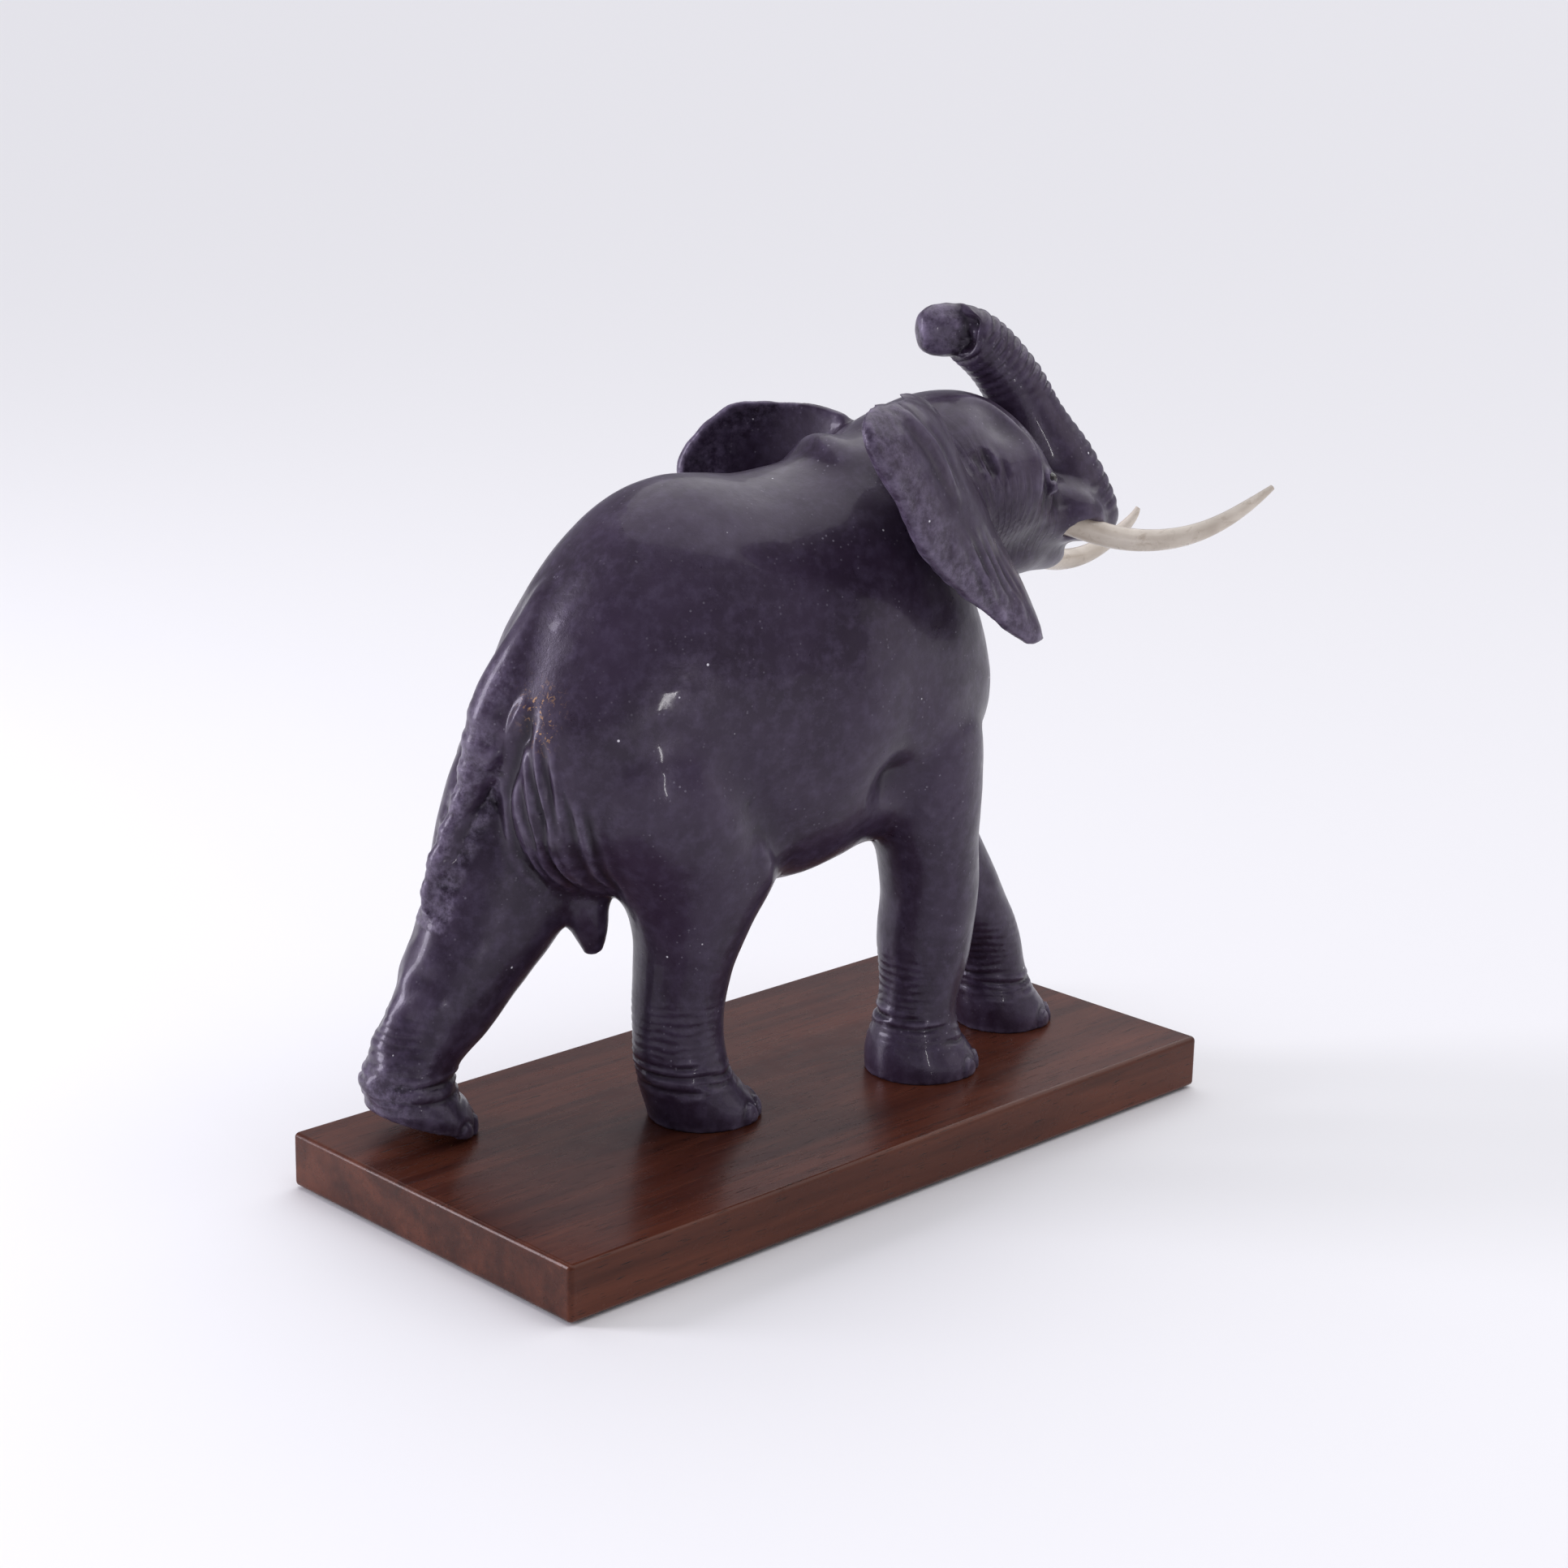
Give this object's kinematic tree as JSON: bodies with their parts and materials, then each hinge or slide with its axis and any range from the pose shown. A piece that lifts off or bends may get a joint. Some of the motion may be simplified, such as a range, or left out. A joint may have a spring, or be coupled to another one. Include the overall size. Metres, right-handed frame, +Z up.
{
  "type": "elephant figurine",
  "caption": "Carved dark wood elephant walking with its trunk raised, screwed to a polished reddish-brown rectangular base board.",
  "frame": {"origin": "middle of the flat underside of the base board's baize, which the piece rests on", "axes": "+X along the board's long side towards the elephant's head, +Y to the elephant's left, +Z up"},
  "size_m": [0.3317, 0.1448, 0.285],
  "materials": {
    "carving": "satin",
    "tusk": "satin",
    "eye": "gloss",
    "board": "satin",
    "baize": "matte",
    "screw": "satin"
  },
  "bodies": {
    "root": {"elephant_body": "carving", "right_tusk": "tusk", "left_tusk": "tusk", "right_eye": "eye", "left_eye": "eye", "base_board": "board", "baize_underlay": "baize", "right_hind_foot_screw": "screw", "right_fore_foot_screw": "screw", "left_fore_foot_screw": "screw", "left_hind_foot_screw": "screw"}
  },
  "joints": []
}
